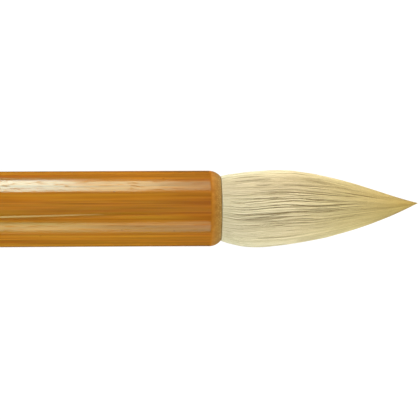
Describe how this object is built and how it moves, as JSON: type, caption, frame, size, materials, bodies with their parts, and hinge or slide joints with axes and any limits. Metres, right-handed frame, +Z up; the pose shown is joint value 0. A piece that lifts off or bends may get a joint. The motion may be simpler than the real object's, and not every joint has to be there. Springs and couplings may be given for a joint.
{
  "type": "calligraphy brush",
  "caption": "Large calligraphy brush: a varnished bamboo tube handle with a pointed, pale goat-hair tuft glued straight into its rounded mouth.",
  "frame": {"origin": "on the surface that the brush lies on, under the middle of its length", "axes": "+X along the brush towards the tip of the tuft, +Z up from the surface that the brush lies on"},
  "size_m": [0.254, 0.015, 0.0148],
  "materials": {
    "bamboo": "honey-brown bamboo skin under clear gloss varnish, bare and matte where the mouth is ground",
    "plug_wood": "dark turned wood, satin varnish",
    "glue": "set amber glue, glossy",
    "rosin": "fused dark rosin, glossy",
    "tie_thread": "twisted cotton thread, matte",
    "core_hair": "straight goat hair, dull sheen",
    "cover_hair": "fine ivory goat hair, soft sheen, amber at the tip"
  },
  "bodies": {
    "handle": {"bamboo_handle": "bamboo", "tail_plug": "plug_wood", "socket_glue": "glue", "root_seal": "rosin", "inner_tie_thread": "tie_thread", "outer_tie_thread": "tie_thread"},
    "tuft": {"life_hair_core": "core_hair", "throat_hair_layer": "core_hair", "belly_hair_layer": "core_hair", "waist_hair_layer": "core_hair", "cover_hair": "cover_hair"}
  },
  "joints": [
    {"name": "tuft_bend", "type": "hinge", "parent": "handle", "child": "tuft", "pos_m": [0.0876, 0, 0.0073], "axis": [0, 0, 1], "range_deg": [-35, 35], "stiffness_Nm_per_rad": 0.02, "deforming": ["life_hair_core", "throat_hair_layer", "belly_hair_layer", "waist_hair_layer", "cover_hair"]}
  ]
}
